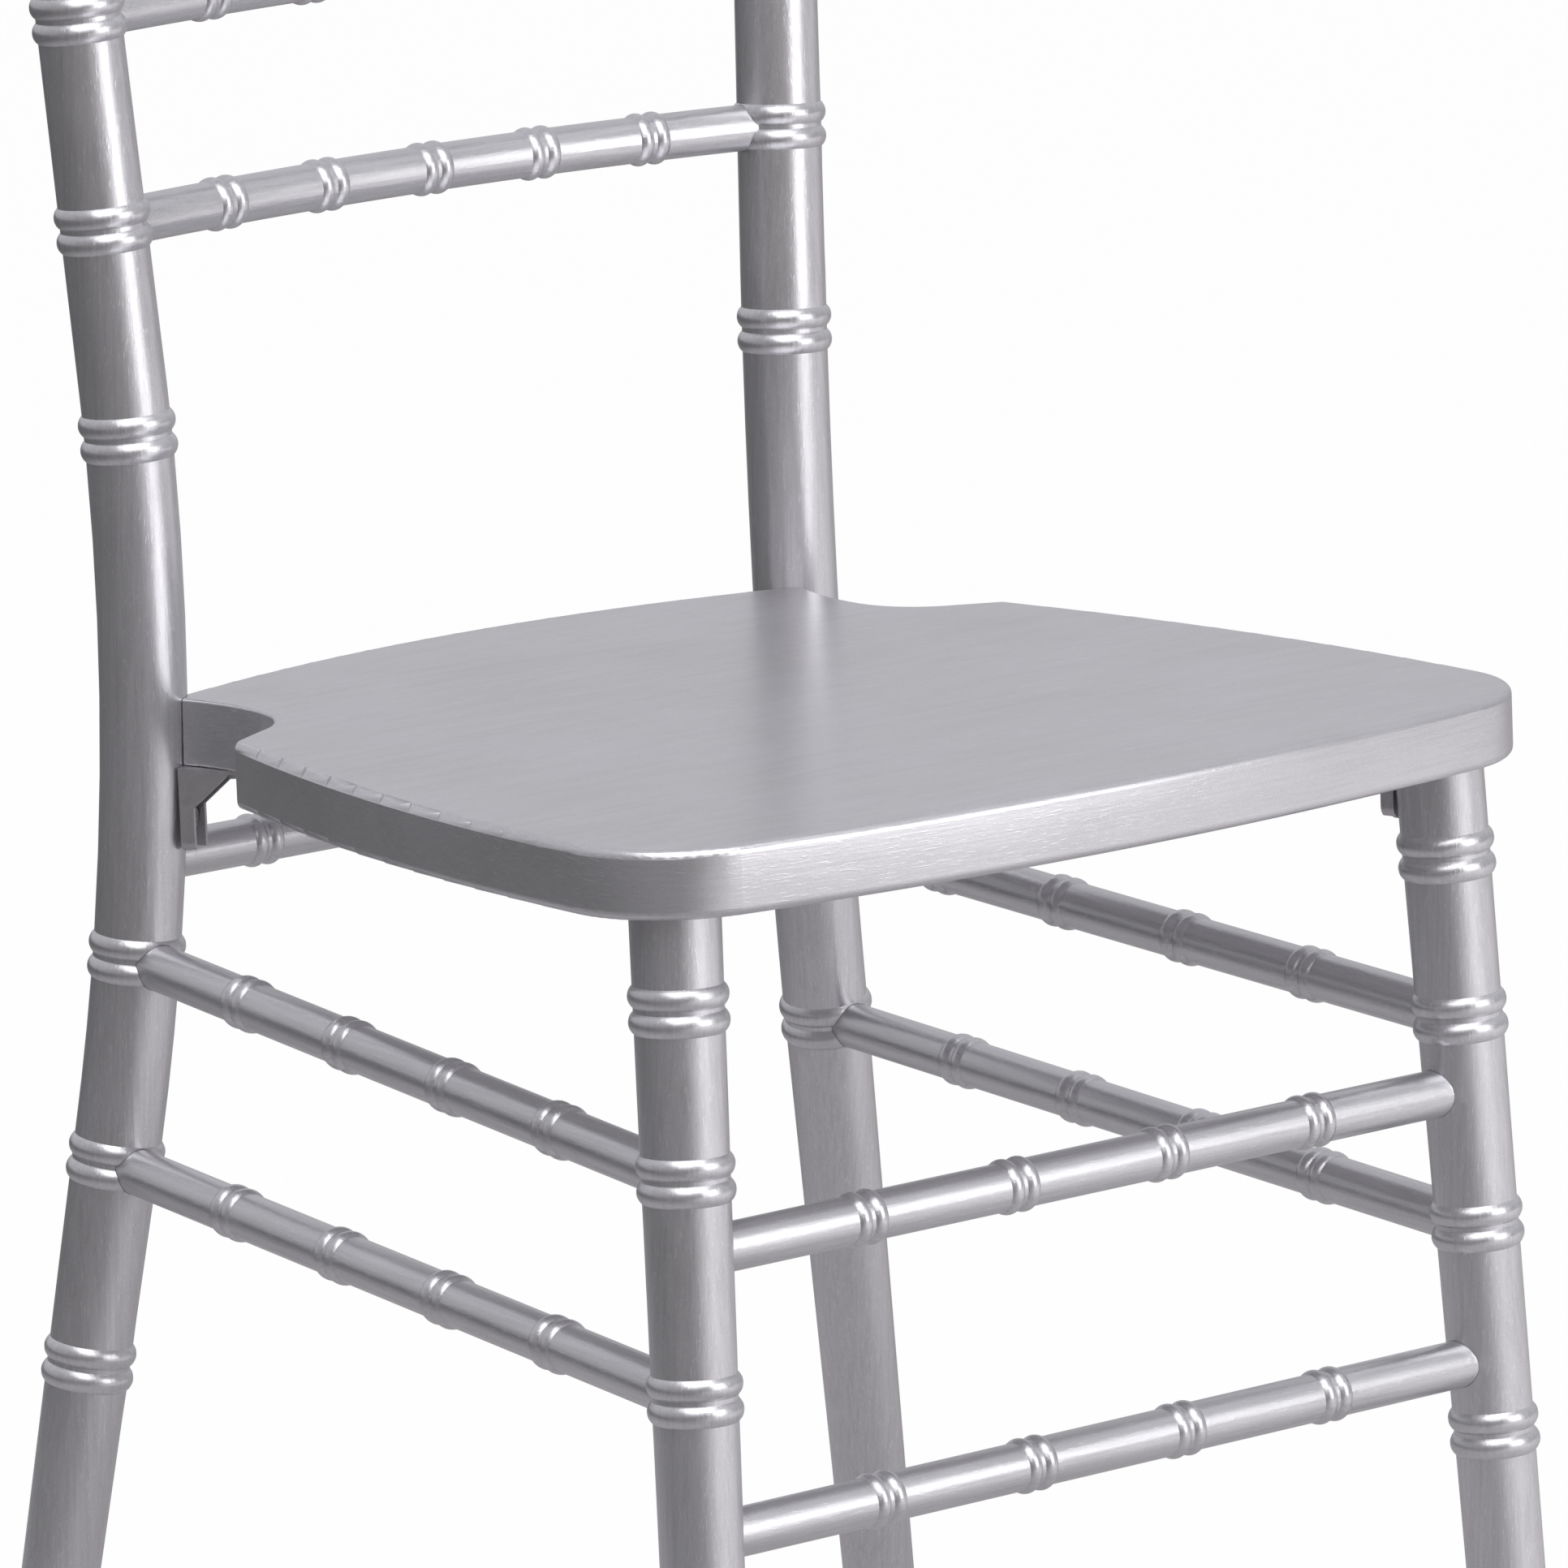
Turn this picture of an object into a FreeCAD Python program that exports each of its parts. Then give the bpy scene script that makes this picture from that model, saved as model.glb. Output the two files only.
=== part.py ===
import FreeCAD, Part
import math
import os
import Sketcher
from FreeCAD import Placement, Rotation, Vector

# Chiavari chair in painted wood, millimetres. X to the sitter's left, Y to the back, Z up.
# The origin is on the floor under the middle of the chair.

SIZES = {
    # Seat panel
    "seat_height": 457.0,
    "seat_slope": 3.7,
    "seat_thickness": 24.6,
    "seat_front": -219.8,
    "seat_half_width": 202.7,
    "seat_widest_at": 75.0,
    "seat_side_bow": 890.0,
    "seat_front_bow": 1000.0,
    "seat_depth": 403.8,
    "seat_rear_bow": 443.0,
    "seat_corner_radius": 46.0,
    "seat_edge_radius": 3.2,
    "scoop_edge_radius": 1.0,
    "shoulder_depth": 293.5,
    "scoop_start_width": 158.0,
    "scoop_start_depth": 303.1,
    "scoop_radius": 35.4,
    "scoop_turn_width": 136.3,
    "scoop_turn_depth": 332.8,
    "scoop_long_radius": 100.0,
    "tongue_half_width": 143.6,
    # Front legs
    "front_foot_spread": 183.7,
    "front_foot_reach": -223.2,
    "front_top_spread": 169.8,
    "front_top_reach": -176.8,
    "leg_top_radius": 15.9,
    "foot_radius": 13.4,
    "leg_collar_drop": 62.0,
    # Back posts
    "post_foot_spread": 201.0,
    "post_foot_reach": 178.8,
    "post_knee_spread": 142.3,
    "post_knee_reach": 161.8,
    "post_knee_drop": 49.4,
    "post_top_spread": 168.2,
    "post_top_reach": 215.9,
    "post_top_rise": 443.0,
    "post_bend_radius": 1143.0,
    "post_radius": 15.9,
    "post_top_radius": 14.6,
    "finial_height": 14.0,
    # Turned rings on legs and posts
    "upper_ring_drop": 120.1,
    "ring_spacing": 75.5,
    "back_ring_rise": 70.4,
    "leg_bead_width": 8.6,
    "leg_bead_height": 1.75,
    "bead_valley": 0.5,
    # Rungs between the legs
    "rung_radius": 8.6,
    "rung_bead_width": 6.4,
    "rung_bead_height": 1.25,
    "rung_ring_pitch": 66.8,
    "front_upper_drop": 146.9,
    "front_lower_drop": 245.3,
    "rear_rung_drop": 85.3,
    "side_rung_sink": 1.3,
    # Rungs and rails of the back
    "back_bow": 13.0,
    "back_ring_pitch": 48.0,
    "crest_drop": 23.0,
    "spindle_radius": 6.5,
    "spindle_bead_width": 5.0,
    "spindle_bead_height": 1.1,
    # Joints
    "tenon_radius": 5.5,
    "tenon_length": 10.0,
    "housing_depth": 3.5,
    "seat_tenon_radius": 10.0,
    "seat_tenon_length": 12.0,
    "seat_housing_depth": 2.5,
    "spindle_tenon_radius": 4.0,
    "spindle_tenon_length": 7.0,
    "spindle_housing_depth": 3.4,
    "fit": 0.1,
    "notch_fit": 0.2,
    # Corner braces of stamped steel
    "brace_width": 11.0,
    "brace_height": 31.0,
    "brace_run": 29.5,
    "brace_sheet": 1.6,
    "brace_lip": 5.5,
    "brace_shoulder": 14.5,
    "brace_web_run": 20.0,
    "brace_tip_radius": 4.5,
    "brace_turn": 30.0,
    "brace_gap": 0.1,
    "brace_screw_drop": 19.0,
    "front_brace_height": 23.5,
    "front_brace_screw_drop": 14.0,
    "front_brace_turn": 16.0,
    "brace_screw_run": 20.0,
    "screw_radius": 1.9,
    "screw_head_radius": 3.6,
    "screw_head_height": 1.8,
    "screw_length": 14.0,
    # Glides under the feet
    "glide_radius": 10.5,
    "glide_height": 4.0,
    "glide_edge": 1.2,
    "nail_radius": 1.3,
    "nail_length": 14.0,
}

SIDE_RUNG_RINGS = 4
FRONT_RUNG_RINGS = 4
BACK_RUNG_RINGS = 5
FRONT_LEG_RINGS = {"left": 3, "right": 3}
LOW_POST_RINGS = {"left": 3, "right": 2}
BACK_RINGS = 5
BACK_RING_SPACES = 4.935
SPINDLE_COUNT = 6
SIDES = {"left": -1, "right": 1}

doc = FreeCAD.newDocument("chiavari_chair")
sheet = doc.addObject("Spreadsheet::Sheet", "Sizes")
for row, (alias, number) in enumerate(SIZES.items(), start=1):
    sheet.set("A%d" % row, alias.replace("_", " "))
    sheet.set("B%d" % row, str(number))
    sheet.setAlias("B%d" % row, alias)
doc.recompute()


def size(alias):
    return float(sheet.get(alias))


def bind(target, path, formula):
    """Tie a property or a sketch dimension to sizes named in the sheet, written as $name."""
    target.setExpression(path, formula.replace("$", "Sizes."))


# Geometry of the legs and posts

def unit(vector):
    return Vector(vector).normalize()


def frame_along(origin, direction, towards):
    """Placement whose Z runs along direction and whose X leans towards the given vector."""
    z_axis = unit(direction)
    x_axis = unit(towards - z_axis * towards.dot(z_axis))
    return Placement(origin, Rotation(x_axis, z_axis.cross(x_axis), z_axis, "ZXY"))


class StraightMember:
    """A leg along a line from a point on the floor."""

    def __init__(self, foot, top, foot_radius, top_radius):
        self.foot = foot
        self.direction = unit(top - foot)
        self.length = (top - foot).Length
        self.foot_radius = foot_radius
        self.top_radius = top_radius
        self.placement = frame_along(foot, self.direction, Vector(1, 0, 0))

    def station(self, height):
        """Distance along the axis, tilt and sideways shift of the point at a height."""
        return height / self.direction.z, 0.0, 0.0

    def point(self, height):
        return self.foot + self.direction * (height / self.direction.z)

    def tangent(self, height):
        return self.direction

    def radius(self, height):
        share = (height / self.direction.z) / self.length
        return self.foot_radius + (self.top_radius - self.foot_radius) * share


class BentMember:
    """A post along two lines joined by a tangent arc, drawn in its own XZ plane."""

    def __init__(self, foot, knee, top, bend_radius, foot_radius, mid_radius, top_radius):
        lower = unit(knee - foot)
        upper = unit(top - knee)
        self.bend = lower.getAngle(upper)
        cut_back = bend_radius * math.tan(self.bend / 2)
        self.lower_length = (knee - foot).Length - cut_back
        self.upper_length = (top - knee).Length - cut_back
        self.bend_radius = bend_radius
        self.foot_radius = foot_radius
        self.mid_radius = mid_radius
        self.top_radius = top_radius
        self.placement = frame_along(foot, lower, upper)

    def local(self, along):
        """Shift, height and tilt in the post's own plane at a distance along its axis."""
        arc_length = self.bend_radius * self.bend
        if along <= self.lower_length:
            return 0.0, along, 0.0
        angle = min(along - self.lower_length, arc_length) / self.bend_radius
        shift = self.bend_radius * (1 - math.cos(angle))
        rise = self.lower_length + self.bend_radius * math.sin(angle)
        rest = max(along - self.lower_length - arc_length, 0.0)
        return shift + rest * math.sin(angle), rise + rest * math.cos(angle), angle

    def along(self, height):
        """Distance along the axis of the point at a height above the floor."""
        low, high = 0.0, 2 * (self.lower_length + self.upper_length)
        for _ in range(60):
            middle = (low + high) / 2
            shift, rise, _tilt = self.local(middle)
            reached = self.placement.multVec(Vector(shift, 0, rise)).z
            low, high = (middle, high) if reached < height else (low, middle)
        return (low + high) / 2

    def station(self, height):
        shift, rise, tilt = self.local(self.along(height))
        return rise, tilt, shift

    def point(self, height):
        rise, _tilt, shift = self.station(height)
        return self.placement.multVec(Vector(shift, 0, rise))

    def tangent(self, height):
        _rise, tilt, _shift = self.station(height)
        return self.placement.Rotation.multVec(Vector(math.sin(tilt), 0, math.cos(tilt)))

    def radius(self, height):
        along = self.along(height)
        if along < self.lower_length:
            share = along / self.lower_length
            return self.foot_radius + (self.mid_radius - self.foot_radius) * share
        past_arc = along - self.lower_length - self.bend_radius * self.bend
        share = max(past_arc, 0.0) / self.upper_length
        return self.mid_radius + (self.top_radius - self.mid_radius) * share


def below_seat(alias):
    """Height above the floor of a place given as a drop from the seat's front edge."""
    return size("seat_height") - size(alias)


def above_seat(alias):
    return size("seat_height") + size(alias)


# Seat plane: it falls towards the back from the front edge
seat_frame = Placement(
    Vector(0, size("seat_front"), size("seat_height")),
    Rotation(Vector(1, 0, 0), -size("seat_slope")),
)


def underside_height(reach):
    """Height of the seat's underside above the floor at a place from front to back."""
    slope = math.radians(size("seat_slope"))
    drop = (reach - size("seat_front")) * math.tan(slope)
    return size("seat_height") - drop - size("seat_thickness") / math.cos(slope)


def front_leg_axis(side):
    top = Vector(side * size("front_top_spread"), size("front_top_reach"), 0)
    top.z = underside_height(top.y)
    foot = Vector(side * size("front_foot_spread"), size("front_foot_reach"), 0)
    return StraightMember(foot, top, size("foot_radius"), size("leg_top_radius"))


def back_post_axis(side):
    foot = Vector(side * size("post_foot_spread"), size("post_foot_reach"), 0)
    knee = Vector(
        side * size("post_knee_spread"), size("post_knee_reach"), below_seat("post_knee_drop")
    )
    top = Vector(
        side * size("post_top_spread"), size("post_top_reach"), above_seat("post_top_rise")
    )
    return BentMember(
        foot, knee, top, size("post_bend_radius"),
        size("foot_radius"), size("post_radius"), size("post_top_radius"),
    )


legs = {name: front_leg_axis(side) for name, side in SIDES.items()}
posts = {name: back_post_axis(side) for name, side in SIDES.items()}


def low_rings(count):
    """Heights of the rings below the seat, from the top one down."""
    return [below_seat("upper_ring_drop") - n * size("ring_spacing") for n in range(count)]


back_spacing = (size("post_top_rise") - size("back_ring_rise")) / BACK_RING_SPACES
back_ring_heights = [
    above_seat("back_ring_rise") + n * back_spacing for n in range(BACK_RINGS)
]
crest_height = above_seat("post_top_rise") - size("crest_drop")
side_upper_height = low_rings(2)[0] - size("side_rung_sink")
side_lower_height = low_rings(2)[1] - size("side_rung_sink")
back_lower_height = back_ring_heights[1]
back_upper_height = back_ring_heights[2]
spindle_rail_height = back_ring_heights[4]


# Sketches and features shared by the turned pieces

def new_body(label):
    return doc.addObject("PartDesign::Body", label)


def origin_feature(body, role):
    return next(item for item in body.Origin.OriginFeatures if item.Role == role)


def new_sketch(body, name, plane, shift=0.0, rise=0.0, tilt=0.0):
    sketch = body.newObject("Sketcher::SketchObject", name)
    sketch.AttachmentSupport = [(origin_feature(body, plane), "")]
    sketch.MapMode = "FlatFace"
    turn = Rotation(Vector(0, 0, 1), -math.degrees(tilt))
    sketch.AttachmentOffset = Placement(Vector(shift, rise, 0), turn)
    return sketch


def arc_between(first, last, radius):
    """Arc that runs counterclockwise from the first point to the last, less than half a turn."""
    chord = last - first
    inward = Vector(-chord.y, chord.x, 0).normalize()
    centre = (first + last) / 2 + inward * math.sqrt(radius ** 2 - chord.Length ** 2 / 4)
    angles = [math.atan2(point.y - centre.y, point.x - centre.x) for point in (first, last)]
    if angles[1] < angles[0]:
        angles[1] += 2 * math.pi
    return Part.ArcOfCircle(Part.Circle(centre, Vector(0, 0, 1), radius), *angles)


def draw_loop(sketch, corners):
    """Closed loop of lines and arcs. A corner is x, y, their formulas, and the formula and
    radius of the arc that leaves it, or None for a line. A negative radius is a hollow arc."""
    count = len(corners)
    for index, corner in enumerate(corners):
        start = Vector(corner[0], corner[1], 0)
        following = corners[(index + 1) % count]
        end = Vector(following[0], following[1], 0)
        if corner[4] is None:
            sketch.addGeometry(Part.LineSegment(start, end), False)
            continue
        first, last = (start, end) if corner[5] > 0 else (end, start)
        sketch.addGeometry(arc_between(first, last, abs(corner[5])), False)
    ends = [(2, 1) if corner[4] is not None and corner[5] < 0 else (1, 2)
            for corner in corners]
    for index in range(count):
        following = (index + 1) % count
        sketch.addConstraint(Sketcher.Constraint(
            "Coincident", index, ends[index][1], following, ends[following][0]))
    for index, corner in enumerate(corners):
        fix_corner(sketch, index, ends[index][0], corner)
        if corner[4] is not None:
            number = sketch.addConstraint(Sketcher.Constraint("Radius", index, abs(corner[5])))
            bind(sketch, "Constraints[%d]" % number, corner[4])


def fix_corner(sketch, index, end, corner):
    for kind, number, formula in (("DistanceX", corner[0], corner[2]),
                                  ("DistanceY", corner[1], corner[3])):
        if formula == "0":
            on_axis = -2 if kind == "DistanceX" else -1
            sketch.addConstraint(Sketcher.Constraint("PointOnObject", index, end, on_axis))
            continue
        made = sketch.addConstraint(Sketcher.Constraint(kind, -1, 1, index, end, number))
        bind(sketch, "Constraints[%d]" % made, formula)


def corner(x, y, x_formula, y_formula, bulge_formula=None, bulge=None):
    return x, y, x_formula, y_formula, bulge_formula, bulge


def revolve(body, sketch, name):
    feature = body.newObject("PartDesign::Revolution", name)
    feature.Profile = sketch
    feature.ReferenceAxis = (sketch, ["V_Axis"])
    feature.Angle = 360
    sketch.Visibility = False
    body.Tip = feature
    return feature


def turned_cone(body, name, low, high, length_formula, place=(0.0, 0.0, 0.0)):
    """A tapered round length; low and high are (number, formula) of the radius."""
    sketch = new_sketch(body, name + "_profile", "XZ_Plane", *place)
    length, formula = length_formula
    draw_loop(sketch, [
        corner(0, 0, "0", "0"),
        corner(low[0], 0, low[1], "0"),
        corner(high[0], length, high[1], formula),
        corner(0, length, "0", formula),
    ])
    return revolve(body, sketch, name)


def ring_pair(body, name, radius, kind, place=(0.0, 0.0, 0.0)):
    """Two round beads with a narrow valley between; kind is the family of bead sizes."""
    width = size(kind + "_bead_width")
    height = size(kind + "_bead_height")
    valley = size("bead_valley")
    sink = 0.3
    base = radius - sink
    bulge = (((width - valley) / 2) ** 2 + (height + sink) ** 2) / (2 * (height + sink))
    bulge_formula = "((($%s_bead_width - $bead_valley) / 2) ^ 2" \
        " + ($%s_bead_height + %s) ^ 2) / (2 * ($%s_bead_height + %s))" % (
            kind, kind, sink, kind, sink)
    inner = base / 2
    wide = "$%s_bead_width" % kind
    at_inner, at_base = "%.4f" % inner, "%.4f" % base
    sketch = new_sketch(body, name + "_profile", "XZ_Plane", *place)
    draw_loop(sketch, [
        corner(inner, -width, at_inner, "-" + wide),
        corner(base, -width, at_base, "-" + wide, bulge_formula, bulge),
        corner(base, -valley, at_base, "-$bead_valley"),
        corner(base, valley, at_base, "$bead_valley", bulge_formula, bulge),
        corner(base, width, at_base, wide),
        corner(inner, width, at_inner, wide),
    ])
    return revolve(body, sketch, name)


def step_end(body, name, kind, place, points_up):
    """Round tenon beyond a shoulder, with a small lead-in at its end."""
    radius = size(kind + "tenon_radius")
    length = size(kind + "tenon_length")
    lead = 0.8
    sign = 1 if points_up else -1
    mark = "" if points_up else "-"
    sketch = new_sketch(body, name + "_profile", "XZ_Plane", *place)
    reach = "%s($%stenon_length - %s)" % (mark, kind, lead)
    loop = [
        corner(0, 0, "0", "0"),
        corner(radius, 0, "$%stenon_radius" % kind, "0"),
        corner(radius, sign * (length - lead), "$%stenon_radius" % kind, reach),
        corner(radius - lead, sign * length, "$%stenon_radius - %s" % (kind, lead),
               "%s$%stenon_length" % (mark, kind)),
        corner(0, sign * length, "0", "%s$%stenon_length" % (mark, kind)),
    ]
    draw_loop(sketch, loop)
    return revolve(body, sketch, name)


def follow_arc(body, name, radius_formula, radius, bend_radius, turn, rise=0.0):
    """A round length swept along an arc that starts at the given rise and turns towards +X."""
    section = new_sketch(body, name + "_section", "XY_Plane")
    section.AttachmentOffset = Placement(Vector(0, 0, rise), Rotation())
    section.addGeometry(Part.Circle(Vector(0, 0, 0), Vector(0, 0, 1), radius), False)
    section.addConstraint(Sketcher.Constraint("Coincident", 0, 3, -1, 1))
    made = section.addConstraint(Sketcher.Constraint("Radius", 0, radius))
    bind(section, "Constraints[%d]" % made, radius_formula)
    path = new_sketch(body, name + "_path", "XZ_Plane", 0.0, rise, 0.0)
    circle = Part.Circle(Vector(bend_radius, 0, 0), Vector(0, 0, 1), bend_radius)
    path.addGeometry(Part.ArcOfCircle(circle, math.pi - turn, math.pi), False)
    pipe = body.newObject("PartDesign::AdditivePipe", name)
    pipe.Profile = section
    pipe.Spine = (path, ["Edge1"])
    section.Visibility = False
    path.Visibility = False
    body.Tip = pipe
    return pipe


def round_over(body, name, base, radius_formula, test):
    """Fillet on the edges of the base that pass the test."""
    edges = ["Edge%d" % (n + 1) for n, edge in enumerate(base.Shape.Edges) if test(edge)]
    rounded = body.newObject("PartDesign::Fillet", name)
    rounded.Base = (base, edges)
    bind(rounded, "Radius", radius_formula)
    body.Tip = rounded
    doc.recompute()
    return rounded


# Tools that cut sockets

def cylinder(name, radius_formula, length, origin, direction):
    tool = doc.addObject("Part::Cylinder", name)
    bind(tool, "Radius", radius_formula)
    tool.Height = length
    tool.Placement = frame_along(origin, direction, across(direction))
    return tool


def across(direction):
    return Vector(0, 0, 1) if abs(direction.z) < 0.7 else Vector(1, 0, 0)


def stepped_socket(name, origin, direction, shoulder, tenon_formula, tenon_length,
                   body_formula, reach):
    """Bore for a tenon, with a flat-bottomed housing for the shoulder in front of it."""
    deep = origin + direction * (shoulder - tenon_length - size("fit"))
    bore = cylinder(name + "_bore", tenon_formula + " + $fit",
                    tenon_length + size("fit") + 1, deep, direction)
    housing = cylinder(name + "_housing", body_formula + " + $fit",
                       reach, origin + direction * shoulder, direction)
    return [bore, housing]


def cut_away(label, base, tools):
    """The piece left when the tools are cut from the base; it takes the plain label."""
    cutter = doc.addObject("Part::MultiFuse", label + "_cutter")
    cutter.Shapes = tools
    piece = doc.addObject("Part::Cut", label + "_cut")
    piece.Base = base
    piece.Tool = cutter
    base.Label = label + "_blank"
    piece.Label = label
    return piece


pieces = []
sockets = {name: [] for name in (
    "front_leg_left", "front_leg_right", "back_post_left", "back_post_right",
    "seat_panel", "back_rung_upper", "spindle_rail")}


def keep(piece):
    pieces.append(piece)
    return piece


# Rungs and rails

def joint_line(start, end):
    """Direction between two points."""
    return unit(end - start)


def socket_at(member_name, origin, direction, shoulder):
    reach = size("housing_depth") + size("leg_bead_height") + 6
    name = "%s_socket_%d" % (member_name, len(sockets[member_name]))
    sockets[member_name] += stepped_socket(
        name, origin, direction, shoulder,
        "$tenon_radius", size("tenon_length"), "$rung_radius", reach)


def socket_into(member_name, member, height, direction):
    """Socket for a rung that meets a leg or post; returns how far its shoulder is from the axis."""
    shoulder = member.radius(height) - size("housing_depth")
    socket_at(member_name, member.point(height), direction, shoulder)
    return shoulder


def straight_rung(label, first, second, rings):
    """A rung between two members, each given as (node name, axis, height)."""
    start = first[1].point(first[2])
    end = second[1].point(second[2])
    direction = joint_line(start, end)
    start_step = socket_into(*first, direction)
    end_step = socket_into(*second, direction * -1)
    length = (end - start).Length - start_step - end_step
    middle = (end - start).Length / 2 - start_step
    body = new_body(label)
    radius = (size("rung_radius"), "$rung_radius")
    turned_cone(body, label + "_rod", radius, radius, (length, "%.4f" % length))
    step_end(body, label + "_first_tenon", "", (0.0, 0.0, 0.0), False)
    step_end(body, label + "_last_tenon", "", (0.0, length, 0.0), True)
    lowest = middle - size("rung_ring_pitch") * (rings - 1) / 2
    ring = ring_pair(body, label + "_ring", size("rung_radius"), "rung", (0.0, lowest, 0.0))
    pattern = body.newObject("PartDesign::LinearPattern", label + "_rings")
    pattern.Originals = [ring]
    pattern.Direction = (origin_feature(body, "Z_Axis"), [""])
    bind(pattern, "Length", "$rung_ring_pitch * %d" % (rings - 1))
    pattern.Occurrences = rings
    body.Tip = pattern
    body.Placement = frame_along(start + direction * start_step, direction, across(direction))
    return keep(body)


def bowed_rung(label, height, rings):
    """A rung of the back, bent along an arc that bellies towards the back."""
    left = posts["left"].point(height)
    right = posts["right"].point(height)
    half = (right - left).Length / 2
    bow = size("back_bow")
    bend_radius = (half ** 2 + bow ** 2) / (2 * bow)
    half_turn = math.asin(half / bend_radius)
    shoulder = posts["left"].radius(height) - size("housing_depth")
    heading = half_turn - shoulder / bend_radius
    turn = 2 * heading
    centre = Vector(0, left.y + bow - bend_radius, height)
    origin = centre + Vector(-math.sin(heading), math.cos(heading), 0) * bend_radius
    direction = Vector(math.cos(heading), math.sin(heading), 0)
    for name, mirror in (("left", 1), ("right", -1)):
        socket_at("back_post_" + name, Vector(origin.x * mirror, origin.y, origin.z),
                  Vector(direction.x * mirror, direction.y, 0), 0.0)
    body = new_body(label)
    follow_arc(body, label + "_rod", "$rung_radius", size("rung_radius"), bend_radius, turn)
    step_end(body, label + "_first_tenon", "", (0.0, 0.0, 0.0), False)
    far = (bend_radius * (1 - math.cos(turn)), bend_radius * math.sin(turn), turn)
    step_end(body, label + "_last_tenon", "", far, True)
    for number in range(rings):
        angle = turn / 2 + (number - (rings - 1) / 2) * size("back_ring_pitch") / bend_radius
        place = (bend_radius * (1 - math.cos(angle)), bend_radius * math.sin(angle), angle)
        ring_pair(body, "%s_ring_%d" % (label, number + 1), size("rung_radius"), "rung", place)
    body.Placement = frame_along(origin, direction, centre - origin)
    return body, centre, bend_radius


def leg_of(name):
    return "front_leg_" + name, legs[name]


def post_of(name):
    return "back_post_" + name, posts[name]


for label, height in (("front_rung_upper", below_seat("front_upper_drop")),
                      ("front_rung_lower", below_seat("front_lower_drop"))):
    straight_rung(label, (*leg_of("left"), height), (*leg_of("right"), height),
                  FRONT_RUNG_RINGS)

for name in SIDES:
    for label, height in (("upper", side_upper_height), ("lower", side_lower_height)):
        straight_rung("side_rung_%s_%s" % (label, name), (*post_of(name), height),
                      (*leg_of(name), height), SIDE_RUNG_RINGS)

rear_height = below_seat("rear_rung_drop")
straight_rung("rear_rung", (*post_of("left"), rear_height), (*post_of("right"), rear_height),
              FRONT_RUNG_RINGS)

keep(bowed_rung("back_rung_lower", back_lower_height, BACK_RUNG_RINGS)[0])
upper_body, upper_centre, upper_bend = bowed_rung(
    "back_rung_upper", back_upper_height, BACK_RUNG_RINGS)
rail_body, rail_centre, rail_bend = bowed_rung(
    "spindle_rail", spindle_rail_height, BACK_RUNG_RINGS)
keep(bowed_rung("crest_rail", crest_height, BACK_RUNG_RINGS)[0])


# Spindles stand between the upper back rung and the spindle rail

def on_bow(centre, bend_radius, across_place):
    """Point on a bowed rung's axis at a place from side to side."""
    return centre + Vector(across_place, math.sqrt(bend_radius ** 2 - across_place ** 2), 0)


def spindle_socket(rung_name, origin, direction):
    shoulder = size("rung_radius") - size("spindle_housing_depth")
    name = "%s_socket_%d" % (rung_name, len(sockets[rung_name]))
    sockets[rung_name] += stepped_socket(
        name, origin, direction, shoulder, "$spindle_tenon_radius",
        size("spindle_tenon_length"), "$spindle_radius", size("spindle_housing_depth") + 4)
    return shoulder


for number in range(SPINDLE_COUNT):
    place = (number - (SPINDLE_COUNT - 1) / 2) * size("back_ring_pitch")
    widening = posts["right"].point(spindle_rail_height).x / posts["right"].point(
        back_upper_height).x
    low_point = on_bow(upper_centre, upper_bend, place)
    high_point = on_bow(rail_centre, rail_bend, place * widening)
    direction = joint_line(low_point, high_point)
    step = spindle_socket("back_rung_upper", low_point, direction)
    spindle_socket("spindle_rail", high_point, direction * -1)
    length = (high_point - low_point).Length - 2 * step
    label = "spindle_%d" % (number + 1)
    spindle = new_body(label)
    radius = (size("spindle_radius"), "$spindle_radius")
    turned_cone(spindle, label + "_rod", radius, radius, (length, "%.4f" % length))
    step_end(spindle, label + "_low_tenon", "spindle_", (0.0, 0.0, 0.0), False)
    step_end(spindle, label + "_high_tenon", "spindle_", (0.0, length, 0.0), True)
    ring_pair(spindle, label + "_ring", size("spindle_radius"), "spindle",
              (0.0, length / 2, 0.0))
    spindle.Placement = frame_along(low_point + direction * step, direction, Vector(1, 0, 0))
    keep(spindle)

keep(cut_away("back_rung_upper", upper_body, sockets["back_rung_upper"]))
keep(cut_away("spindle_rail", rail_body, sockets["spindle_rail"]))


# Braces: a folded bracket with side webs, a slot for the post screw and a hole for the seat screw

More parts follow.
